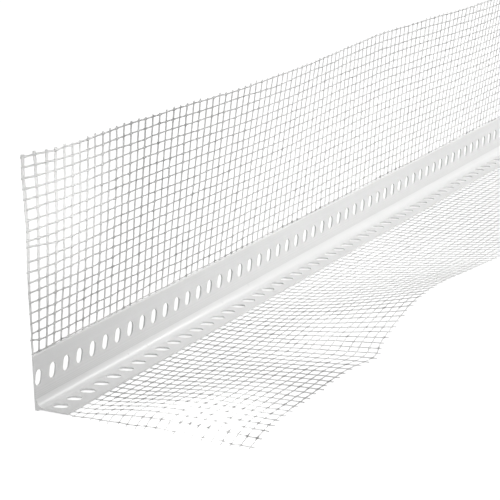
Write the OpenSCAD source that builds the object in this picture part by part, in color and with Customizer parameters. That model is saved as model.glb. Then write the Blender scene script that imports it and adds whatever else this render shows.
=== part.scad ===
// Drip corner bead: a perforated plastic angle with a strip of glass-fibre mesh bonded to each leg.
// Millimetres. Y runs along the bead, X across the lower leg, Z up.
// The origin is under the middle of the whole bead, on the surface that it lies on.

/* [Angle profile] */
// Length of the bead as sold
length = 2000; // [400:10:3000]
// Width of the upright leg, from the drip edge to its free edge
upper_leg = 24; // [19:0.5:40]
// Width of the lower leg, from the drip edge to its free edge
lower_leg = 16.5; // [13:0.5:40]
// Wall thickness of both legs
wall = 0.75; // [0.6:0.05:1.3]
// Height of the hollow fillet inside the corner, up the upright leg
corner_rise = 3.9; // [1:0.05:4]
// How much further the fillet runs out along the lower leg, which leaves a crease at its top
corner_spread = 0.6; // [0:0.05:1.5]
// Width of the drip lip along the outer corner
lip_w = 1.5; // [1:0.1:2.5]

/* [Slots] */
// Distance between two slots in a row
slot_pitch = 10; // [7:0.5:20]
// Length of a slot, end to end
slot_len = 6.8; // [5:0.1:8]
// Width of a slot
slot_w = 4.4; // [2:0.1:4.5]
// Lean of a slot towards the far end, in degrees
slot_slant = 16; // [0:1:20]
// Plain strip between the upper row of slots and the free edge
upper_margin = 6.9; // [5:0.1:10]
// Plain strip between the lower row of slots and the free edge
lower_margin = 4.5; // [3:0.1:6]
// Distance from the near end to the middle of the first upper slot
upper_first = 2.9; // [2.9:0.1:10]
// Distance from the near end to the middle of the first lower slot
lower_first = 6.3; // [2.9:0.1:10]

/* [Mesh strips] */
// Height of the upper mesh above the drip edge, laid flat
upper_wing = 109.5; // [60:0.5:160]
// Reach of the lower mesh from the drip edge, laid flat
lower_wing = 103.5; // [60:0.5:160]
// Thickness of the woven mesh
mesh_t = 0.6; // [0.4:0.05:1]
// Length over which both free edges bend away from a cut end, which lies straight
end_run = 15; // [8:1:60]
// How far the top of the upper mesh leans in
top_lean = 7.2; // [0:0.1:12]
// How much further it leans in at the middle of each wave
top_wave = 5.6; // [0:0.1:8]
// Length of one wave
wave_len = 280; // [150:10:600]
// Distance from the near end to the start of the first wave
wave_at = 50; // [0:5:200]
// How far the free edge of the lower mesh stands off the surface
edge_lift = 5.1; // [0:0.1:8]
// How much higher it stands at the crest of its ripple
ripple_h = 9.2; // [0:0.1:20]
// Distance from the near end to the crest
ripple_at = 172; // [100:1:300]
// Length of the ripple's near slope
ripple_rise = 44; // [20:1:80]
// Length of the ripple's far slope
ripple_fall = 73; // [20:1:150]

/* [Hidden] */

arc_fn = 32;
// The lip is flush with the underside of the lower mesh, so both rest on the same surface
lip_h = mesh_t;
// The fillet is an arc that lies flat on the lower leg and meets the upright leg at the crease
corner_reach = corner_rise + corner_spread;
corner_r = (corner_reach * corner_reach + corner_rise * corner_rise) / (2 * corner_rise);
// The corner runs a little up the upright leg past the crease, so that the arc meets a plain wall
crease_cover = 0.3;
upper_root = lip_h + wall + corner_rise + crease_cover;
lower_root = wall + corner_reach;
// Half of a slot's reach across its leg
slot_reach = (slot_len - slot_w) / 2 * cos(slot_slant) + slot_w / 2;
upper_slot_line = upper_leg - upper_margin - slot_reach;
lower_slot_line = lower_leg - lower_margin - slot_reach;
// Half of a slot's reach along the bead, and the plain web kept between the last slot and the far end
slot_run = (slot_len - slot_w) / 2 * sin(slot_slant) + slot_w / 2;
end_web = 0.4;
// The mesh is bonded to the plain strip only, just short of the slots
bond_gap = 0.1;
upper_bond = upper_leg - upper_margin + bond_gap;
lower_bond = lower_leg - lower_margin + bond_gap;
// Puts the origin under the middle of the bead
centre_x = (lower_wing - mesh_t) / 2;

// Mesh strips are sampled on a grid: stations along the bead, and steps across the free part
station_step = 12.5;
station_count = ceil(length / station_step);
stations = [for (i = [0 : station_count]) -length / 2 + length * i / station_count];
across_steps = 5;
across = [for (i = [0 : across_steps]) i / across_steps];
// How the lean and the lift grow from the leg's edge to the free edge
lean_power = 1.1;
lift_power = 1.3;

// Distance from the near cut end
function from_near(y) = y + length / 2;
// How far the bend has built up at a station, from 0 at a cut end to 1
function bent(y) = 1 - exp(-(length / 2 - abs(y)) / end_run);
// Wave in the top of the upper mesh, from 0 to 1
function wave(y) = (1 - cos(360 * (from_near(y) - wave_at) / wave_len)) / 2;
// Ripple in the free edge of the lower mesh: a bell curve with a near and a far slope
function ripple(y) = let (past = from_near(y) - ripple_at, slope = past < 0 ? ripple_rise : ripple_fall)
    exp(-pow(past / slope, 2));
// Lean of the upper free edge at a station
function lean(y) = bent(y) * (top_lean + top_wave * wave(y));
// Lift of the lower free edge at a station
function lift(y) = bent(y) * (edge_lift + ripple_h * ripple(y));
// What is left of a width once its free edge has moved sideways by a distance
function shortened(w, shift) = sqrt(w * w - shift * shift);

// Outer face of the upper mesh: straight on the leg, then leaning in
function upper_point(y, t) = let (free = upper_wing - upper_leg)
    [lean(y) * pow(t, lean_power) - mesh_t, y, upper_leg + t * shortened(free, lean(y))];
// Underside of the lower mesh: flat under the leg, then lifted
function lower_point(y, t) = let (free = lower_wing - lower_leg)
    [lower_leg + t * shortened(free, lift(y)), y, lift(y) * pow(t, lift_power)];

// One slot, lying along X, with round ends
module slot() {
    square([slot_len - slot_w, slot_w], center = true);
    for (side = [-1, 1])
        translate([side * (slot_len - slot_w) / 2, 0]) circle(d = slot_w, $fn = arc_fn);
}

// Flat outline of one leg from the fillet to its free edge, with its row of slots
module leg_outline(root, edge, slot_line, first) {
    last = length - slot_run - end_web;
    difference() {
        translate([root, -length / 2]) square([edge - root, length]);
        for (d = [first : slot_pitch : last])
            translate([slot_line, d - length / 2]) rotate(slot_slant) slot();
    }
}

// Cross-section of the corner: the fillet, the wall behind it and the drip lip outside
module corner_section() {
    difference() {
        translate([0, lip_h]) square([lower_root, upper_root - lip_h]);
        translate([lower_root, lip_h + wall + corner_r]) circle(r = corner_r, $fn = arc_fn);
    }
    translate([0, lip_h]) square([wall, upper_root - lip_h]);
    square([lip_w, lip_h]);
}

// A thin closed sheet: a grid of points, and the same grid moved by its thickness
module thin_sheet(face, offset) {
    rows = len(face);
    cols = len(face[0]);
    layer = rows * cols;
    outer = [for (row = face) for (p = row) p];
    inner = [for (p = outer) p + offset];
    quads = [for (i = [0 : rows - 2]) for (j = [0 : cols - 2])
        let (a = i * cols + j, b = a + 1, c = a + cols + 1, d = a + cols) [a, b, c, d]];
    rim = concat(
        [for (j = [0 : cols - 2]) [j, j + 1]],
        [for (i = [0 : rows - 2]) [(i + 1) * cols - 1, (i + 2) * cols - 1]],
        [for (j = [cols - 2 : -1 : 0]) [(rows - 1) * cols + j + 1, (rows - 1) * cols + j]],
        [for (i = [rows - 2 : -1 : 0]) [(i + 1) * cols, i * cols]]);
    triangles = concat(
        [for (q = quads) [q[0], q[1], q[2]]],
        [for (q = quads) [q[0], q[2], q[3]]],
        [for (q = quads) [layer + q[2], layer + q[1], layer + q[0]]],
        [for (q = quads) [layer + q[3], layer + q[2], layer + q[0]]],
        [for (e = rim) [e[1], e[0], layer + e[0]]],
        [for (e = rim) [e[1], layer + e[0], layer + e[1]]]);
    polyhedron(points = concat(outer, inner), faces = triangles);
}

module profile() {
    color("whitesmoke") translate([-centre_x, 0, 0]) {
        translate([wall, 0, 0]) rotate([0, -90, 0]) linear_extrude(height = wall)
            leg_outline(upper_root, upper_leg, upper_slot_line, upper_first);
        translate([0, 0, lip_h]) linear_extrude(height = wall)
            leg_outline(lower_root, lower_leg, lower_slot_line, lower_first);
        rotate([90, 0, 0]) linear_extrude(height = length, center = true) corner_section();
    }
}

module upper_mesh() {
    bonded = [for (y = stations) [-mesh_t, y, upper_bond]];
    face = [for (i = [0 : station_count])
        concat([bonded[i]], [for (t = across) upper_point(stations[i], t)])];
    color("white") translate([-centre_x, 0, 0]) thin_sheet(face, [mesh_t, 0, 0]);
}

module lower_mesh() {
    bonded = [for (y = stations) [lower_bond, y, 0]];
    face = [for (i = [0 : station_count])
        concat([bonded[i]], [for (t = across) lower_point(stations[i], t)])];
    color("white") translate([-centre_x, 0, 0]) thin_sheet(face, [0, 0, mesh_t]);
}

profile();
upper_mesh();
lower_mesh();
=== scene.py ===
"""Drip corner bead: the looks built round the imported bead, in metres and degrees and in its frame."""

import math

import bpy
import numpy as np
from mathutils import Matrix, Vector


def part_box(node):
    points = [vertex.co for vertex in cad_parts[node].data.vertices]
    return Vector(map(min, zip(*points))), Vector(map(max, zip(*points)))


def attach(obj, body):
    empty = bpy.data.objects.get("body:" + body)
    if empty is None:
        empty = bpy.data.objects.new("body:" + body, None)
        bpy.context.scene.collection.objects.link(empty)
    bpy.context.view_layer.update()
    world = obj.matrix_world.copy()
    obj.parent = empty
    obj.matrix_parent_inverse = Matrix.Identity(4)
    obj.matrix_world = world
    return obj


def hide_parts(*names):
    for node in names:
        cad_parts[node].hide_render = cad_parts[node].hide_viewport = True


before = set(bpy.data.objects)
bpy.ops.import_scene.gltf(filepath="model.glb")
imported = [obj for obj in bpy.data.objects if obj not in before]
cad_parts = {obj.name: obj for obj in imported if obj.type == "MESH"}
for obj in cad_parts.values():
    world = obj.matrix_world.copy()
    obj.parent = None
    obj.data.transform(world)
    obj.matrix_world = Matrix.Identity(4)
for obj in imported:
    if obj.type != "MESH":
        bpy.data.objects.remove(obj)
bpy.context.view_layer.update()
scene = bpy.context.scene

# Camera
# It looks into the corner from beside the near cut end, along the bead and a little down.
# Its place, tilt and lens come from fitting the slot rows and the cut end to the photograph.
PHOTO_SIDE = 500
FOCAL_PX = 1783.5
EYE_FROM_CORNER = Vector((0.41992, -0.55931, 0.26269))
EYE_AZIMUTH, EYE_ELEVATION, EYE_ROLL = 29.44, 15.79, -1.54
SENSOR_WIDTH = 36
CLIP_START, CLIP_END = 0.01, 50

profile_low, profile_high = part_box("profile")
near_corner = Vector((profile_low.x, profile_low.y, 0))
camera = bpy.data.objects.new("camera", bpy.data.cameras.new("camera"))
scene.collection.objects.link(camera)
scene.camera = camera
camera.data.sensor_width = SENSOR_WIDTH
camera.data.lens = FOCAL_PX / PHOTO_SIDE * SENSOR_WIDTH
camera.data.clip_start, camera.data.clip_end = CLIP_START, CLIP_END
azimuth, elevation = math.radians(EYE_AZIMUTH), math.radians(EYE_ELEVATION)
ground_part = math.cos(elevation)
back = Vector((math.sin(azimuth) * ground_part, -math.cos(azimuth) * ground_part, math.sin(elevation)))
level = back.to_track_quat("Z", "Y").to_matrix().to_4x4()
camera.matrix_world = (
    Matrix.Translation(near_corner + EYE_FROM_CORNER)
    @ level
    @ Matrix.Rotation(math.radians(EYE_ROLL), 4, "Z")
)


# Plastic angle
# The perforated angle of the bead, one white plastic extrusion with a low sheen. Its die leaves faint lines
# along it, some darkened with painted shade, and a fine groove along the top of the fillet, with painted
# shade in it. The imported profile keeps its own mesh.
PLASTIC_DARK, PLASTIC_LIGHT = (0.77, 0.77, 0.765, 1), (0.84, 0.84, 0.837, 1)
ROUGHNESS_LOW, ROUGHNESS_HIGH = 0.29, 0.42
# Noise cells for each metre across, along and up, drawn out into faint lines along the bead.
LINE_SCALE, LINE_DETAIL, LINE_ROUGHNESS = (1500, 5, 1500), 3.0, 0.6
RELIEF_STRENGTH, RELIEF_DEPTH = 0.15, 0.0001
# A painted highlight along the upright leg's free edge, and the groove, which is GROOVE_RELIEF times the
# lines' relief and carries painted shade.
PAINTED_RIM_HIGHLIGHT, RIM_HALF = (0.96, 0.96, 0.957, 1), 0.0009
PAINTED_GROOVE_SHADE_AND_SPECKS = (0.70, 0.70, 0.695, 1)
GROOVE_HEIGHT, GROOVE_HALF, GROOVE_RELIEF = 0.00525, 0.00040, -1.2
# The height and the strength of each line of painted shade on the upright leg, above the groove.
DIE_LINES = ((0.0061, 0.80), (0.0070, 0.50), (0.0079, 0.65), (0.0092, 0.40))
DIE_LINE_HALF = 0.00028
# A nick across the top of the fillet, with painted shade in it, and each dark speck's distance from the cut
# end and height.
NICK_FROM_END, NICK_HALF, NICK_HEIGHT, NICK_RISE = 0.180, 0.0006, 0.0046, 0.0016
SPECKS = ((0.069, 0.0031), (0.084, 0.0027), (0.106, 0.0070), (0.153, 0.0032))
SPECK_HALF = 0.0007


def new_node(tree, kind, **values):
    """A shader node with some of its properties and inputs set.

    An input goes by its name, with _ for a space, or by i and its number. A Mix node of colours has its
    factor at i0 and its two colours at i6 and i7, and a Map Range node has its two ranges at i1 to i4.
    """
    made = tree.nodes.new(kind)
    for key, value in values.items():
        if key in made.bl_rna.properties:
            setattr(made, key, value)
        else:
            numbered = key[0] == "i" and key[1:].isdigit()
            made.inputs[int(key[1:]) if numbered else key.replace("_", " ")].default_value = value
    return made


def new_material(name):
    """A material with nodes, and its tree and Principled shader."""
    made = bpy.data.materials.new(name)
    made.use_nodes = True
    return made, made.node_tree, made.node_tree.nodes["Principled BSDF"]


def band_group():
    """Mask of a soft band: Strength where Value is at Middle, falling to 0 over Half on both sides.

    The fall is a smooth step of |Value - Middle| / Half from 1 at 0 to 0 at 1.
    """
    group = bpy.data.node_groups.new("soft_band", "ShaderNodeTree")
    for name in ("Value", "Middle", "Half", "Strength"):
        group.interface.new_socket(name, in_out="INPUT", socket_type="NodeSocketFloat")
    group.interface.new_socket("Mask", in_out="OUTPUT", socket_type="NodeSocketFloat")
    given, put = group.nodes.new("NodeGroupInput"), group.nodes.new("NodeGroupOutput")
    offset = new_node(group, "ShaderNodeMath", operation="SUBTRACT")
    share = new_node(group, "ShaderNodeMath", operation="DIVIDE")
    size = new_node(group, "ShaderNodeMath", operation="ABSOLUTE")
    fall = new_node(group, "ShaderNodeMapRange", interpolation_type="SMOOTHSTEP", i1=1, i2=0, i3=0, i4=1)
    strong = new_node(group, "ShaderNodeMath", operation="MULTIPLY")
    group.links.new(given.outputs["Value"], offset.inputs[0])
    group.links.new(given.outputs["Middle"], offset.inputs[1])
    group.links.new(offset.outputs[0], share.inputs[0])
    group.links.new(given.outputs["Half"], share.inputs[1])
    group.links.new(share.outputs[0], size.inputs[0])
    group.links.new(size.outputs[0], fall.inputs[0])
    group.links.new(fall.outputs[0], strong.inputs[0])
    group.links.new(given.outputs["Strength"], strong.inputs[1])
    group.links.new(strong.outputs[0], put.inputs["Mask"])
    return group


soft_band = band_group()
plastic, plastic_tree, plastic_shader = new_material("white_plastic")
where = new_node(plastic_tree, "ShaderNodeTexCoord")
split = new_node(plastic_tree, "ShaderNodeSeparateXYZ")
drawn_out = new_node(plastic_tree, "ShaderNodeMapping", Scale=LINE_SCALE)
lines = new_node(plastic_tree, "ShaderNodeTexNoise", Scale=1, Detail=LINE_DETAIL, Roughness=LINE_ROUGHNESS)
tint = new_node(plastic_tree, "ShaderNodeMix", data_type="RGBA", i6=PLASTIC_DARK, i7=PLASTIC_LIGHT)
plastic_tree.links.new(where.outputs["Object"], drawn_out.inputs["Vector"])
plastic_tree.links.new(where.outputs["Object"], split.inputs[0])
plastic_tree.links.new(drawn_out.outputs[0], lines.inputs["Vector"])
plastic_tree.links.new(lines.outputs[0], tint.inputs[0])


def band_mask(axis, middle, half, strength=1.0):
    """Output of one soft band across an object axis of the angle."""
    band = new_node(
        plastic_tree, "ShaderNodeGroup", node_tree=soft_band, Middle=middle, Half=half, Strength=strength,
    )
    plastic_tree.links.new(split.outputs[axis], band.inputs["Value"])
    return band.outputs["Mask"]


def joined(first, second, operation):
    """Output of a Math node on two masks of the angle."""
    made = new_node(plastic_tree, "ShaderNodeMath", operation=operation)
    plastic_tree.links.new(first, made.inputs[0])
    plastic_tree.links.new(second, made.inputs[1])
    return made.outputs[0]


# One mask for the groove, the die lines and the nick, cut in as relief and darkened with painted shade, and
# for the specks.
marked = band_mask("Z", GROOVE_HEIGHT, GROOVE_HALF)
for height, strength in DIE_LINES:
    marked = joined(marked, band_mask("Z", height, DIE_LINE_HALF, strength), "MAXIMUM")
marks = [(NICK_FROM_END, NICK_HALF, NICK_HEIGHT, NICK_RISE)]
marks += [(from_end, SPECK_HALF, height, SPECK_HALF) for from_end, height in SPECKS]
for from_end, half, height, rise in marks:
    spot = joined(band_mask("Y", near_corner.y + from_end, half), band_mask("Z", height, rise), "MULTIPLY")
    marked = joined(marked, spot, "MAXIMUM")
# A painted highlight along the top edge. The groove, die lines and nick get painted shade, and the specks
# their own dark grey.
rim_highlight = new_node(plastic_tree, "ShaderNodeMix", data_type="RGBA", i7=PAINTED_RIM_HIGHLIGHT)
colour = new_node(plastic_tree, "ShaderNodeMix", data_type="RGBA", i7=PAINTED_GROOVE_SHADE_AND_SPECKS)
depth = new_node(plastic_tree, "ShaderNodeMath", operation="MULTIPLY_ADD", i1=GROOVE_RELIEF)
rough = new_node(plastic_tree, "ShaderNodeMapRange", i3=ROUGHNESS_LOW, i4=ROUGHNESS_HIGH)
bump = new_node(plastic_tree, "ShaderNodeBump", Strength=RELIEF_STRENGTH, Distance=RELIEF_DEPTH)
plastic_tree.links.new(band_mask("Z", profile_high.z, RIM_HALF), rim_highlight.inputs[0])
plastic_tree.links.new(tint.outputs[2], rim_highlight.inputs[6])
plastic_tree.links.new(rim_highlight.outputs[2], colour.inputs[6])
plastic_tree.links.new(marked, colour.inputs[0])
plastic_tree.links.new(marked, depth.inputs[0])
plastic_tree.links.new(lines.outputs[0], depth.inputs[2])
plastic_tree.links.new(lines.outputs[0], rough.inputs[0])
plastic_tree.links.new(depth.outputs[0], bump.inputs["Height"])
plastic_tree.links.new(colour.outputs[2], plastic_shader.inputs["Base Color"])
plastic_tree.links.new(rough.outputs[0], plastic_shader.inputs["Roughness"])
plastic_tree.links.new(bump.outputs[0], plastic_shader.inputs["Normal"])
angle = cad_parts["profile"]
angle.data.materials.clear()
angle.data.materials.append(plastic)


# Upper mesh
# A strip of coated glass-fibre fabric, bonded to the outer face of the upright leg and free above it.
# Flat cross yarns are held by lengthwise pairs: a ground strand behind them, and a twist strand that
# passes in front of each one and changes side between two.
upper_low, upper_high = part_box("upper_mesh")
mesh_thickness = profile_low.x - upper_low.x
bead_length = profile_high.y - profile_low.y
upper_width = upper_high.z - upper_low.z

# How the strip stands: its lean and wave, and the bow, slant and lag of its cross yarns.
END_RUN = 0.015
TOP_LEAN, LEAN_POWER = 0.0078, 1.1
TOP_WAVE, WAVE_LENGTH, WAVE_AT = 0.0056, 0.280, 0.050
BOW, BOW_RUN = 0.0017, 0.090
SKEW, LAG, STRAIGHT_RUN = 0.0010, 0.0014, 0.005

# The yarns. A section lists its corners as shares of half the width and of half the thickness. A cross yarn
# is PINCHED to that share of its width at a crossing. A strand lies aside there by its SIDE, to one side
# and the other in turn, and lifted, and comes back between two by SETTLED of its lift. It passes the last
# cross yarn by up to CUT_FRINGE.
CROSS_WIDTH, CROSS_THICKNESS = 0.00140, 0.00028
CROSS_SECTION = np.array([(1, 0), (0.6, 1), (-0.6, 1), (-1, 0), (-0.6, -1), (0.6, -1)])
STRAND_WIDTH, STRAND_THICKNESS = 0.00064, 0.00016
STRAND_SECTION = np.array([(1, 0), (0, 1), (-1, 0), (0, -1)])
PINCHED = 0.86
TWIST_SIDE, GROUND_SIDE = 0.00020, -0.00010
SETTLED = 0.3
CUT_FRINGE = 0.0011

# How uneven they are: the rms and the wavelengths of a slow wander, a jitter's rms, and ranges of the share
# of its size that a width, a tip and a fringe has.
WANDER, CROSS_WAVES, STRAND_WAVES = 0.00016, (0.03, 0.09), (0.04, 0.16)
JITTER = 0.00010
WIDTH_RANGE, TIP_RANGE, FRINGE_RANGE = (0.92, 1.08), (0.7, 1.3), (0.5, 1)
rng = np.random.default_rng(11)


def bent(along):
    """How far a free edge has bent away from its straight cut ends: 1 - exp(-distance / END_RUN)."""
    inside = np.maximum(np.minimum(along, bead_length - along), 0)
    return 1 - np.exp(-inside / END_RUN)


def upper_wing(along, across):
    """Middle of the upper mesh: flat on the leg, then its free part leans in by lean * share ** LEAN_POWER.

    along is the distance from the near cut end, across the distance from the bonded edge, and share goes
    from 0 at the leg's edge to 1 at the top. lean is bent * (TOP_LEAN + TOP_WAVE * (1 - cos(turn)) / 2),
    with one turn to each WAVE_LENGTH. The free part rises share * sqrt(free ** 2 - lean ** 2) above the
    leg, so it keeps its width free. The strip is also drawn along the bead, by
    BOW * exp(-(along / BOW_RUN) ** 2) * sin(pi * share) + SKEW * share - LAG, so its cross yarns are bowed
    and slanted a little. The cut end itself is straighter, by 1 - exp(-along / STRAIGHT_RUN).
    """
    lap, free = profile_high.z - upper_low.z, upper_high.z - profile_high.z
    share = np.maximum(across - lap, 0) / free
    wave = (1 - np.cos(2 * np.pi * (along - WAVE_AT) / WAVE_LENGTH)) / 2
    lean = bent(along) * (TOP_LEAN + TOP_WAVE * wave)
    risen = share * np.sqrt(free**2 - lean**2)
    height = np.where(across < lap, upper_low.z + across, profile_high.z + risen)
    outer = profile_low.x - mesh_thickness / 2 + lean * share**LEAN_POWER
    bow = BOW * np.exp(-((along / BOW_RUN) ** 2)) * np.sin(np.pi * share)
    drawn = (bow + SKEW * share - LAG) * (1 - np.exp(-np.maximum(along, 0) / STRAIGHT_RUN))
    return np.stack([outer, profile_low.y + along + drawn, height], -1)


def on_wing(wing, along, across, raised, facing):
    """Points raised off a wing, and the unit directions out of it, along it and across it there.

    The two directions in the wing come from small differences, and the one out of it is their cross product
    times facing.
    """
    step = 1e-4
    here = wing(along, across)
    forward = wing(along + step, across) - wing(along - step, across)
    outward = wing(along, across + step) - wing(along, across - step)
    forward /= np.linalg.norm(forward, axis=-1, keepdims=True)
    outward /= np.linalg.norm(outward, axis=-1, keepdims=True)
    normal = np.cross(forward, outward) * facing
    normal /= np.linalg.norm(normal, axis=-1, keepdims=True)
    return here + normal * raised[..., None], normal, forward, outward


def yarn_mesh(name, path, side, normal, width, thickness, section, marks):
    """Closed tubes carried along many paths at once.

    path, side and normal are arrays of yarns by rings by xyz, and width is an array of yarns by rings.
    Corner (wide, thick) of the section lies off the path by side * wide * width / 2 +
    normal * thick * thickness / 2. UV "yarn" is the length along the yarn, which starts length_shift
    further on for each next yarn, and the share of a turn round it, which at the caps is cap_turn, the
    middle of a flat side. Each of marks, an array of yarns by rings, becomes an attribute.
    """
    length_shift, cap_turn = 0.37, 0.25
    yarns, rings = path.shape[:2]
    corners = len(section)
    wide, thick = section.T
    half = width[:, :, None, None] / 2
    ring = path[:, :, None] + side[:, :, None] * wide[:, None] * half
    ring = ring + normal[:, :, None] * thick[:, None] * thickness / 2
    number = np.arange(yarns * rings * corners).reshape(yarns, rings, corners)
    after = np.roll(number, -1, axis=2)
    sides = np.stack([number[:, :-1], after[:, :-1], after[:, 1:], number[:, 1:]], -1).reshape(-1, 4)
    loops = np.concatenate([sides.ravel(), number[:, 0, ::-1].ravel(), number[:, -1].ravel()])
    counts = np.concatenate([np.full(len(sides), 4), np.full(2 * yarns, corners)])
    starts = np.concatenate([[0], np.cumsum(counts)[:-1]])
    mesh = bpy.data.meshes.new(name)
    mesh.vertices.add(ring.size // 3)
    mesh.vertices.foreach_set("co", ring.astype(np.float32).ravel())
    mesh.loops.add(len(loops))
    mesh.loops.foreach_set("vertex_index", loops.astype(np.int32))
    mesh.polygons.add(len(counts))
    mesh.polygons.foreach_set("loop_start", starts.astype(np.int32))
    mesh.polygons.foreach_set("use_smooth", np.ones(len(counts), bool))
    mesh.update()

    steps = np.linalg.norm(np.diff(path, axis=1), axis=-1)
    length = np.concatenate([np.zeros((yarns, 1)), np.cumsum(steps, 1)], 1)
    length = length + np.arange(yarns)[:, None] * length_shift
    length = np.broadcast_to(length[:, :, None], number.shape).ravel()[loops]
    corner = np.broadcast_to(np.arange(corners), (yarns, rings - 1, corners))
    turn = np.stack([corner, corner + 1, corner + 1, corner], -1).ravel() / corners
    turn = np.concatenate([turn, np.full(2 * yarns * corners, cap_turn)])
    uv = mesh.uv_layers.new(name="yarn")
    uv.data.foreach_set("uv", np.stack([length, turn], -1).astype(np.float32).ravel())
    for mark, values in marks.items():
        layer = mesh.attributes.new(mark, "FLOAT", "POINT")
        layer.data.foreach_set("value", np.repeat(values.ravel(), corners).astype(np.float32))
    made = bpy.data.objects.new(name, mesh)
    scene.collection.objects.link(made)
    return made


def rising(value, middle, run):
    """0 well below the middle and 1 well above it: 1 / (1 + exp((middle - value) / run))."""
    return 1 / (1 + np.exp((middle - value) / run))


def falling(value, middle, run):
    """1 well below the middle and 0 well above it: 1 / (1 + exp((value - middle) / run))."""
    return 1 / (1 + np.exp((value - middle) / run))


def wandering(count, place, shortest, longest):
    """Slow sideways wander of many yarns: a sum of sine waves with random phases, with WANDER as its rms."""
    sines = 3
    waves = rng.uniform(shortest, longest, (sines, count, 1))
    phases = rng.uniform(0, 2 * np.pi, (sines, count, 1))
    return WANDER * np.sin(2 * np.pi * place / waves + phases).sum(0) / math.sqrt(sines / 2)


def with_middles(values, first, last):
    """Ring values of yarns: the given ones at the crossings, their middles between, and one at each end."""
    rings = np.empty((len(values), 2 * values.shape[1] + 1))
    rings[:, 1:-1:2] = values
    rings[:, 2:-2:2] = (values[:, :-1] + values[:, 1:]) / 2
    rings[:, 0], rings[:, -1] = first, last
    return rings


def at_crossings(shape, values, elsewhere=0.0):
    """Ring values of yarns by crossings of a shape: the given ones at the crossings, and one elsewhere."""
    rings = np.full((shape[0], 2 * shape[1] + 1), elsewhere)
    rings[:, 1:-1:2] = values
    return rings


def weave(prefix, wing, facing, cross_at, row_at, tip, light_painting, cross_painted_light):
    """The three yarn systems of one strip of mesh, as cross yarns, ground strands and twist strands.

    Crossing (i, j) lies near cross_at[i] along the strip and near row_at[i, j] across it, with the rows in
    order from the bonded edge. Both yarns run through it. The cross yarns end about tip beyond the last row.
    The strands lie half their own and half the cross yarn's thickness off at a crossing, and come back past
    the middle, by SETTLED of that, between two. light_painting(along, across) gives the painted light on the
    yarns, from 0 to 1, the share of painted shade at the crossings, and how much thinner the yarns are.
    cross_painted_light is more painted light on the cross yarns.
    """
    crosses, rows = row_at.shape
    along = cross_at[:, None] + wandering(crosses, row_at[-1], *CROSS_WAVES)
    along = along + rng.normal(0, JITTER, along.shape)
    across = row_at + wandering(rows, cross_at, *STRAND_WAVES).T
    across = across + rng.normal(0, JITTER, along.shape)

    ends = across[:, -1] + tip * rng.uniform(*TIP_RANGE, crosses)
    # A random strength of the painted shade at each crossing.
    crossing_shade_strength = rng.uniform(0, 1, along.shape) ** 2
    at, out = with_middles(along, along[:, 0], along[:, -1]), with_middles(across, 0, ends)
    pale, knot_shade_share, thinner = light_painting(at, out)
    knot = at_crossings(along.shape, crossing_shade_strength)
    marks = {"knot": np.minimum(knot * knot_shade_share, 1), "pale": np.minimum(pale + cross_painted_light, 1)}
    path, normal, forward, _ = on_wing(wing, at, out, np.zeros_like(at), facing)
    pinch = at_crossings(along.shape, PINCHED, 1.0)
    width = CROSS_WIDTH * (1 - thinner) * pinch * rng.uniform(*WIDTH_RANGE, (crosses, 1))
    name = prefix + "_cross_yarns"
    pieces = [yarn_mesh(name, path, forward, normal, width, CROSS_THICKNESS, CROSS_SECTION, marks)]

    first = along[0] - rng.uniform(*FRINGE_RANGE, rows) * CUT_FRINGE
    last = along[-1] + rng.uniform(*FRINGE_RANGE, rows) * CUT_FRINGE
    at, out = with_middles(along.T, first, last), with_middles(across.T, across[0], across[-1])
    pale, knot_shade_share, thinner = light_painting(at, out)
    knot = at_crossings(crossing_shade_strength.T.shape, crossing_shade_strength.T)
    marks = {"knot": np.minimum(knot * knot_shade_share, 1), "pale": pale}
    width = STRAND_WIDTH * (1 - thinner)
    turned = np.where(np.arange(crosses) % 2 == 0, 1.0, -1.0)
    lift = (CROSS_THICKNESS + STRAND_THICKNESS) / 2
    for kind, aside, over in (("ground", GROUND_SIDE, -lift), ("twist", TWIST_SIDE, lift)):
        shift = at_crossings(crossing_shade_strength.T.shape, turned * aside)
        raised = at_crossings(crossing_shade_strength.T.shape, over, -SETTLED * over)
        path, normal, _, outward = on_wing(wing, at, out + shift, raised, facing)
        name = f"{prefix}_{kind}_strands"
        pieces.append(yarn_mesh(name, path, outward, normal, width, STRAND_THICKNESS, STRAND_SECTION, marks))
    return pieces


# The yarns' finish: grey glass filaments under a white coat, with painted shade at their sides and crossings
# and painted light in patches along the strips. FILAMENTS is noise cells for each metre of yarn and for each
# turn round it, and BLUE_SHARE keeps each grey a little warm.
FILAMENTS, FILAMENT_DETAIL = (300, 9, 1), 2.0
FILAMENT_RELIEF, FILAMENT_DEPTH = 0.3, 0.00005
FLANK_SHADE_POWER, KNOT_POWER = 3.0, 2.0
BLUE_SHARE = 0.99


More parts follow.
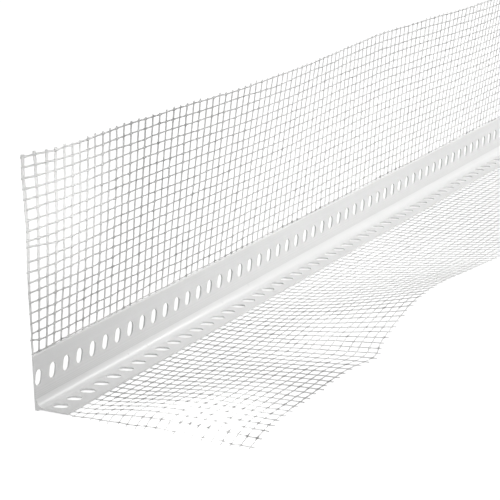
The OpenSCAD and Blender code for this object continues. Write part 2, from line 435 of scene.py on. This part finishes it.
def fibre_group():
    """Fine filaments that run along a yarn, with painted shade at its sides and crossings and painted light,
    under a white coat.

    Noise stretched along the yarn's own coordinates mixes Dark and Light and gives the relief. The mix turns
    to Edge, painted shade, at the sides of the yarn, by |cos(2 pi turn)| ** FLANK_SHADE_POWER, to
    Pale, painted light, by the attribute pale, and to Knot, painted shade, where yarns
    cross, by the attribute knot ** KNOT_POWER.
    """
    group = bpy.data.node_groups.new("glass_filaments", "ShaderNodeTree")
    for name in ("Dark", "Light", "Edge", "Knot", "Pale"):
        group.interface.new_socket(name, in_out="INPUT", socket_type="NodeSocketColor")
    group.interface.new_socket("Color", in_out="OUTPUT", socket_type="NodeSocketColor")
    group.interface.new_socket("Height", in_out="OUTPUT", socket_type="NodeSocketFloat")
    given, put = group.nodes.new("NodeGroupInput"), group.nodes.new("NodeGroupOutput")
    yarn = new_node(group, "ShaderNodeUVMap", uv_map="yarn")
    stretch = new_node(group, "ShaderNodeMapping", Scale=FILAMENTS)
    streaks = new_node(group, "ShaderNodeTexNoise", Scale=1.0, Detail=FILAMENT_DETAIL)
    body = new_node(group, "ShaderNodeMix", data_type="RGBA")
    split = new_node(group, "ShaderNodeSeparateXYZ")
    # Painted shade at the sides of the yarn, by |cos(2 pi turn)| ** FLANK_SHADE_POWER.
    turn = new_node(group, "ShaderNodeMath", operation="MULTIPLY", i1=2 * math.pi)
    swing = new_node(group, "ShaderNodeMath", operation="COSINE")
    size = new_node(group, "ShaderNodeMath", operation="ABSOLUTE")
    edge = new_node(group, "ShaderNodeMath", operation="POWER", i1=FLANK_SHADE_POWER)
    flank_shaded = new_node(group, "ShaderNodeMix", data_type="RGBA")
    # Painted shade where yarns cross.
    crossing = new_node(group, "ShaderNodeAttribute", attribute_name="knot")
    near = new_node(group, "ShaderNodeMath", operation="POWER", i1=KNOT_POWER)
    knot_shaded = new_node(group, "ShaderNodeMix", data_type="RGBA")
    # Painted light, by its attribute.
    light_painting = new_node(group, "ShaderNodeAttribute", attribute_name="pale")
    light_painted = new_node(group, "ShaderNodeMix", data_type="RGBA")
    group.links.new(yarn.outputs[0], stretch.inputs["Vector"])
    group.links.new(stretch.outputs[0], streaks.inputs["Vector"])
    group.links.new(streaks.outputs[0], body.inputs[0])
    group.links.new(given.outputs["Dark"], body.inputs[6])
    group.links.new(given.outputs["Light"], body.inputs[7])
    group.links.new(yarn.outputs[0], split.inputs[0])
    group.links.new(split.outputs["Y"], turn.inputs[0])
    group.links.new(turn.outputs[0], swing.inputs[0])
    group.links.new(swing.outputs[0], size.inputs[0])
    group.links.new(size.outputs[0], edge.inputs[0])
    group.links.new(edge.outputs[0], flank_shaded.inputs[0])
    group.links.new(body.outputs[2], flank_shaded.inputs[6])
    group.links.new(given.outputs["Edge"], flank_shaded.inputs[7])
    group.links.new(crossing.outputs["Fac"], near.inputs[0])
    group.links.new(near.outputs[0], knot_shaded.inputs[0])
    group.links.new(light_painting.outputs["Fac"], light_painted.inputs[0])
    group.links.new(flank_shaded.outputs[2], light_painted.inputs[6])
    group.links.new(given.outputs["Pale"], light_painted.inputs[7])
    group.links.new(light_painted.outputs[2], knot_shaded.inputs[6])
    group.links.new(given.outputs["Knot"], knot_shaded.inputs[7])
    group.links.new(knot_shaded.outputs[2], put.inputs["Color"])
    group.links.new(streaks.outputs[0], put.inputs["Height"])
    return group


filaments = fibre_group()


def yarn_material(name, dark, light, edge, knot, pale, roughness):
    """Coated glass yarn between a dark and a light grey, with greys for painted shade at its sides and
    crossings and for painted light.
    """
    made, tree, shader = new_material(name)
    greys = {"Dark": dark, "Light": light, "Edge": edge, "Knot": knot, "Pale": pale}
    shades = {socket: (grey, grey, grey * BLUE_SHARE, 1) for socket, grey in greys.items()}
    fibre = new_node(tree, "ShaderNodeGroup", node_tree=filaments, **shades)
    bump = new_node(tree, "ShaderNodeBump", Strength=FILAMENT_RELIEF, Distance=FILAMENT_DEPTH)
    shader.inputs["Roughness"].default_value = roughness
    tree.links.new(fibre.outputs["Color"], shader.inputs["Base Color"])
    tree.links.new(fibre.outputs["Height"], bump.inputs["Height"])
    tree.links.new(bump.outputs[0], shader.inputs["Normal"])
    return made


# edge is the grey of painted shade at a yarn's sides, knot that of painted shade at its crossings, and pale
# that of painted light.
cross_finish = yarn_material(
    "coated_cross_yarn", dark=0.58, light=0.70, edge=0.52, knot=0.30, pale=0.92, roughness=0.42,
)
strand_finish = yarn_material(
    "coated_strand", dark=0.54, light=0.66, edge=0.48, knot=0.22, pale=0.90, roughness=0.45,
)


def finish_strip(pieces, node):
    """Materials and the root body as parent for the three yarn systems of one strip, whose imported part is
    hidden.
    """
    for piece, finish in zip(pieces, (cross_finish, strand_finish, strand_finish)):
        piece.data.materials.append(finish)
        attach(piece, "root")
        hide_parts(node)


# Where this strip's yarns lie. SLIPPED lists the number from the top of a pair, how far up it has slipped at
# the cut end, and how far along that reaches.
UPPER_FIRST, UPPER_PITCH = 0.0015, 0.00536
UPPER_ROW, UPPER_FRINGE, UPPER_TIP = 0.00444, 0.0007, 0.0011
GATHERED, GATHERED_RUN = 0.0011, 0.080
END_GATHERED, END_GATHERED_RUN = 0.0009, 0.004
SLIPPED = ((9, 0.0018, 0.012), (18, 0.0022, 0.004))
# Painted light on its yarns, painted shade at their crossings, and how much wider the yarns are near the cut
# end. Each pair of lengths is the middle and the run of a smooth step.
PAINTED_LIGHT_TO, PAINTED_LIGHT_AGAIN_FROM = (0.050, 0.014), (0.165, 0.025)
LOW_ROWS_TO, LOWEST_ROW_TO = (0.036, 0.006), (0.010, 0.0005)
LOW_ROWS_PAINTED_LIGHT, LOWEST_ROW_PAINTED_LIGHT, PAINTED_LIGHT_AGAIN = 0.3, 0.6, 0.5
KNOT_SHADE_CUT_BY_LIGHT, LOWEST_KNOT_SHADE, WIDENED = 0.7, 2, 0.3


def upper_rows(cross_at):
    """Places of the lengthwise pairs across the upper strip, for each cross yarn, from the bonded edge.

    Pair k from the top lies at upper_width - UPPER_FRINGE - k * UPPER_ROW. All of them are drawn together,
    more so near the top, by GATHERED * exp(-(near / GATHERED_RUN) ** 2) in the first stretch of the bead
    and END_GATHERED * exp(-near / END_GATHERED_RUN) at the cut end, where two have also slipped up.
    """
    number = np.arange(int((upper_width - UPPER_FRINGE) / UPPER_ROW), -1, -1)
    share = 1 - number / number[0]
    near = cross_at[:, None]
    gathered = GATHERED * np.exp(-((near / GATHERED_RUN) ** 2))
    gathered = gathered + END_GATHERED * np.exp(-near / END_GATHERED_RUN)
    row_at = upper_width - UPPER_FRINGE - number * UPPER_ROW - gathered * share
    for pair, slip, reach in SLIPPED:
        row_at[:, number == pair] += slip * np.exp(-((near / reach) ** 2))
    return row_at


def upper_painted_shading(along, across):
    """Painted light near the cut end, weaker on the lower rows, on the lowest row, and a little further on,
    by smooth steps.

    The yarns are wider with the painted light near the cut end, and the painted shade at their crossings is
    weaker under painted light and stronger on the lowest row.
    """
    near = falling(along, *PAINTED_LIGHT_TO) * (LOW_ROWS_PAINTED_LIGHT + (1 - LOW_ROWS_PAINTED_LIGHT) * rising(across, *LOW_ROWS_TO))
    lowest = falling(across, *LOWEST_ROW_TO)
    pale = np.maximum(near + PAINTED_LIGHT_AGAIN * rising(along, *PAINTED_LIGHT_AGAIN_FROM), LOWEST_ROW_PAINTED_LIGHT * lowest)
    return pale, 1 - KNOT_SHADE_CUT_BY_LIGHT * pale + LOWEST_KNOT_SHADE * lowest, -WIDENED * near


upper_cross = np.arange(UPPER_FIRST, bead_length, UPPER_PITCH)
upper_yarns = weave(
    "upper",
    upper_wing,
    facing=1,
    cross_at=upper_cross,
    row_at=upper_rows(upper_cross),
    tip=UPPER_TIP,
    light_painting=upper_painted_shading,
    cross_painted_light=0,
)
finish_strip(upper_yarns, "upper_mesh")


# Lower mesh
# The same fabric, bonded under the lower leg. It lies out over the floor with its free edge a little raised,
# and a ripple lifts that edge further, pushes it out in front of the crest and draws it in behind.
lower_low, lower_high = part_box("lower_mesh")
lower_width = lower_high.x - lower_low.x

# How the strip lies: its raised edge, its ripple, its outline, and its first yarns and cut end.
EDGE_LIFT, RISE_RUN = 0.0051, 0.008
SWELL_AT_END, SWELL_RUN, SWELL_MOST = 0.2, 0.150, 2
RIPPLE_HEIGHT, RIPPLE_AT, RIPPLE_POWER = 0.0092, 0.172, 1.3
RIPPLE_RISE, RIPPLE_FALL = 0.044, 0.073
BULGE, BULGE_AT, BULGE_HALF = 0.0050, 0.104, 0.013
DRAWN_IN, DRAWN_FROM, DRAWN_RUN = 0.0040, 0.165, 0.040
FANNED, FAN_RISE, FAN_RUN = 0.0025, 0.0008, 0.005
SET_BACK, SET_BACK_RUN, LEG_EDGE_RUN = 0.0020, 0.0030, 0.0006
# Where its yarns lie. The first cross yarn is apart, and the others lie whole pitches on from LOWER_OFFSET.
LOWER_FIRST, LOWER_PITCH, LOWER_OFFSET = 0.0010, 0.00542, -0.0004
LOWER_ROW, LOWER_FRINGE = 0.00436, 0.0020
# Painted light on its yarns, painted shade at their crossings, and how much thinner the yarns are. Each pair
# of lengths is the middle and the run of a smooth step.
END_PAINTED_LIGHT_TO, END_PAINTED_LIGHT_SLANT, END_PAINTED_LIGHT_RUN = 0.020, 0.15, 0.003
SLOPE_FROM, SLOPE_TO, INNER_PART_TO = (0.092, 0.006), (0.150, 0.006), (0.045, 0.006)
BEYOND_FROM, BEYOND_TO, BEYOND_PAINTED_LIGHT = (0.175, 0.015), (0.300, 0.020), 0.6
END_THINNED, INNER_THINNED, SLOPE_THINNED = 0.35, 0.2, 0.25
END_KNOT_SHADE, BEYOND_KNOT_SHADE_CUT = 6, 0.4
LOWER_CROSS_PAINTED_LIGHT = 0.3


def lower_wing(along, across):
    """Middle of the lower mesh: flat under the leg, then lifted, with share from 0 at the leg to 1 outside.

    The height is risen * (EDGE_LIFT * swell + RIPPLE_HEIGHT * bell * share ** RIPPLE_POWER). risen is
    1 - exp(-along / RISE_RUN), and bell is exp(-(past / slope) ** 2), with a near and a far slope. swell
    is 1 - exp(-(share / spread) ** 2) over its own value at share 1. spread is SWELL_AT_END +
    along / SWELL_RUN, up to SWELL_MOST, so the swell is steepest near the cut end. The free part reaches
    share * sqrt(free ** 2 - lifted ** 2) past the leg, with lifted the height of its edge.

    The free edge is pushed out by a bell of BULGE round BULGE_AT and drawn in by DRAWN_IN past DRAWN_FROM,
    both times share ** 2. The first yarns are fanned out along the bead, by FANNED * share, and raised, by
    FAN_RISE * sin(pi * share), both times (along / FAN_RUN) * exp(1 - along / FAN_RUN). Under the leg the
    cut end is set back, by SET_BACK * exp(-along / SET_BACK_RUN).
    """
    lap, free = profile_high.x - lower_low.x, lower_high.x - profile_high.x
    share = np.maximum(across - lap, 0) / free
    past = along - RIPPLE_AT
    bell = np.exp(-((past / np.where(past < 0, RIPPLE_RISE, RIPPLE_FALL)) ** 2))
    spread = np.minimum(SWELL_AT_END + np.maximum(along, 0) / SWELL_RUN, SWELL_MOST)
    swell = (1 - np.exp(-((share / spread) ** 2))) / (1 - np.exp(-(1 / spread**2)))
    risen = 1 - np.exp(-np.maximum(along, 0) / RISE_RUN)
    height = risen * (EDGE_LIFT * swell + RIPPLE_HEIGHT * bell * share**RIPPLE_POWER)
    lifted = bent(along) * (EDGE_LIFT + RIPPLE_HEIGHT * bell)
    laid = share * np.sqrt(free**2 - lifted**2)
    reach = np.where(across < lap, lower_low.x + across, profile_high.x + laid)
    pushed = BULGE * np.exp(-(((along - BULGE_AT) / BULGE_HALF) ** 2))
    drawn = DRAWN_IN * (1 + np.tanh((along - DRAWN_FROM) / DRAWN_RUN)) / 2
    sideways = (pushed - drawn) * share**2
    fan = np.maximum(along, 0) / FAN_RUN * np.exp(1 - along / FAN_RUN)
    fanned, raised = FANNED * share * fan, FAN_RISE * np.sin(np.pi * share) * fan
    set_back = SET_BACK * np.exp(-np.maximum(along, 0) / SET_BACK_RUN) * falling(across, lap, LEG_EDGE_RUN)
    place = profile_low.y + along + fanned + set_back
    return np.stack([reach + sideways, place, mesh_thickness / 2 + height + raised], -1)


def lower_painted_shading(along, across):
    """Painted light at the cut end, on the outer part of the ripple's near slope and, weaker, beyond the
    ripple.

    All are products of smooth steps. The painted shade at the crossings is stronger at the cut end and
    weaker beyond the ripple, and the yarns are thinner at the cut end and on the slope.
    """
    at_end = falling(along, END_PAINTED_LIGHT_TO + END_PAINTED_LIGHT_SLANT * across, END_PAINTED_LIGHT_RUN)
    on_slope = rising(along, *SLOPE_FROM) * falling(along, *SLOPE_TO) * rising(across, *INNER_PART_TO)
    beyond = rising(along, *BEYOND_FROM) * falling(along, *BEYOND_TO)
    pale = np.maximum(at_end, np.maximum(on_slope, BEYOND_PAINTED_LIGHT * beyond))
    thinner = (END_THINNED + INNER_THINNED * falling(across, *INNER_PART_TO)) * at_end
    thinner = thinner + SLOPE_THINNED * on_slope
    return pale, 1 + END_KNOT_SHADE * at_end - BEYOND_KNOT_SHADE_CUT * beyond, thinner


lower_cross = np.arange(LOWER_PITCH + LOWER_OFFSET, bead_length - LOWER_OFFSET, LOWER_PITCH)
lower_cross = np.concatenate([[LOWER_FIRST], lower_cross])
lower_rows = np.arange(lower_width - LOWER_FRINGE, STRAND_WIDTH, -LOWER_ROW)[::-1]
lower_yarns = weave(
    "lower",
    lower_wing,
    facing=-1,
    cross_at=lower_cross,
    row_at=np.broadcast_to(lower_rows, (len(lower_cross), len(lower_rows))),
    tip=LOWER_FRINGE,
    light_painting=lower_painted_shading,
    cross_painted_light=LOWER_CROSS_PAINTED_LIGHT,
)
finish_strip(lower_yarns, "lower_mesh")


# Floor and background
# A plain white floor that keeps a soft contact shadow, and a white background. Both are whiter where the
# camera, gloss or glass sees them than in the light that they give the bead.
FLOOR_HALF = 6.0
FLOOR_SHADE, FLOOR_ROUGHNESS = (0.9, 0.9, 0.9, 1), 0.9
FLOOR_GLOW, GLOW_SHARE = 1.8, 0.5
BACKGROUND_SHADE = (1, 1, 1, 1)
AMBIENT = 0.18


def seen_directly(tree):
    """1 for camera, glossy and transmission rays, so that gloss shows the background the camera sees."""
    path = new_node(tree, "ShaderNodeLightPath")
    highest = path.outputs["Is Camera Ray"]
    for kind in ("Is Glossy Ray", "Is Transmission Ray"):
        either = new_node(tree, "ShaderNodeMath", operation="MAXIMUM")
        tree.links.new(highest, either.inputs[0])
        tree.links.new(path.outputs[kind], either.inputs[1])
        highest = either.outputs[0]
    return highest


floor_mesh = bpy.data.meshes.new("floor")
corners = [(x * FLOOR_HALF, y * FLOOR_HALF, 0) for x, y in ((-1, -1), (1, -1), (1, 1), (-1, 1))]
floor_mesh.from_pydata(corners, [], [(0, 1, 2, 3)])
floor = bpy.data.objects.new("floor", floor_mesh)
scene.collection.objects.link(floor)
white, floor_tree, floor_shader = new_material("white_floor")
floor_shader.inputs["Base Color"].default_value = FLOOR_SHADE
floor_shader.inputs["Roughness"].default_value = FLOOR_ROUGHNESS
floor_shader.inputs["Specular IOR Level"].default_value = 0.0
glow = new_node(floor_tree, "ShaderNodeEmission", Strength=FLOOR_GLOW)
share = new_node(floor_tree, "ShaderNodeMath", operation="MULTIPLY", i1=GLOW_SHARE)
mix = new_node(floor_tree, "ShaderNodeMixShader")
floor_tree.links.new(seen_directly(floor_tree), share.inputs[0])
floor_tree.links.new(share.outputs[0], mix.inputs[0])
floor_tree.links.new(floor_shader.outputs[0], mix.inputs[1])
floor_tree.links.new(glow.outputs[0], mix.inputs[2])
floor_tree.links.new(mix.outputs[0], floor_tree.nodes["Material Output"].inputs["Surface"])
floor_mesh.materials.append(white)

world = bpy.data.worlds.new("studio")
scene.world = world
world.use_nodes = True
background = world.node_tree.nodes["Background"]
background.inputs["Color"].default_value = BACKGROUND_SHADE
strength = new_node(world.node_tree, "ShaderNodeMapRange", i3=AMBIENT, i4=1.0)
world.node_tree.links.new(seen_directly(world.node_tree), strength.inputs[0])
world.node_tree.links.new(strength.outputs[0], background.inputs["Strength"])


# Lights
# Two long soft boxes lie along the bead: the key over its open side, which starts a little past the near cut
# end, so that the end is in its half-light, and a wider one behind. The small ones light the near stretch
# only: the cut end, the first rows of the lower mesh, the upper mesh and, as a sheen, the fillet.
BOX_LENGTH, KEY_START = 2.2, 0.04
bead_middle = profile_low.y + bead_length / 2
key_middle = profile_low.y + KEY_START + BOX_LENGTH / 2


def soft_box(name, place, target, length, width, power, spread=180):
    """A soft box at a place, turned to a target. Its length is the side that stays level."""
    data = bpy.data.lights.new(name, "AREA")
    data.shape = "RECTANGLE"
    data.size, data.size_y = length, width
    data.energy = power
    data.spread = math.radians(spread)
    made = bpy.data.objects.new(name, data)
    scene.collection.objects.link(made)
    made.location = place
    made.rotation_euler = (Vector(target) - Vector(place)).to_track_quat("-Z", "Y").to_euler()


soft_box(
    "key",
    place=(profile_low.x + 0.55, key_middle, 0.55),
    target=(profile_low.x + 0.02, key_middle, 0.02),
    length=BOX_LENGTH,
    width=0.3,
    power=2.05,
    spread=42,
)
soft_box(
    "back_fill",
    place=(profile_low.x - 0.7, bead_middle, 0.6),
    target=(profile_low.x, bead_middle, 0.03),
    length=BOX_LENGTH,
    width=0.5,
    power=2.5,
)
soft_box(
    "front",
    place=near_corner + Vector((0, -0.13, 0.05)),
    target=near_corner + Vector((0.01, 0, 0.015)),
    length=0.06,
    width=0.06,
    power=0.055,
)
# This one points down, and the 0.1 mm between its place and its target lays its width along the bead.
soft_box(
    "near_rows",
    place=near_corner + Vector((0.077, -0.012, 0.35)),
    target=near_corner + Vector((0.077, -0.0119, 0)),
    length=0.02,
    width=0.12,
    power=0.0158,
    spread=12,
)
soft_box(
    "near_mesh",
    place=near_corner + Vector((0.50, -0.12, 0.22)),
    target=near_corner + Vector((0, 0.025, 0.085)),
    length=0.05,
    width=0.03,
    power=0.0048,
    spread=10,
)
soft_box(
    "sheen",
    place=near_corner + Vector((0.218, 0.670, 0.378)),
    target=near_corner,
    length=0.08,
    width=0.13,
    power=0.0140,
    spread=16,
)

scene.view_settings.view_transform = "Standard"
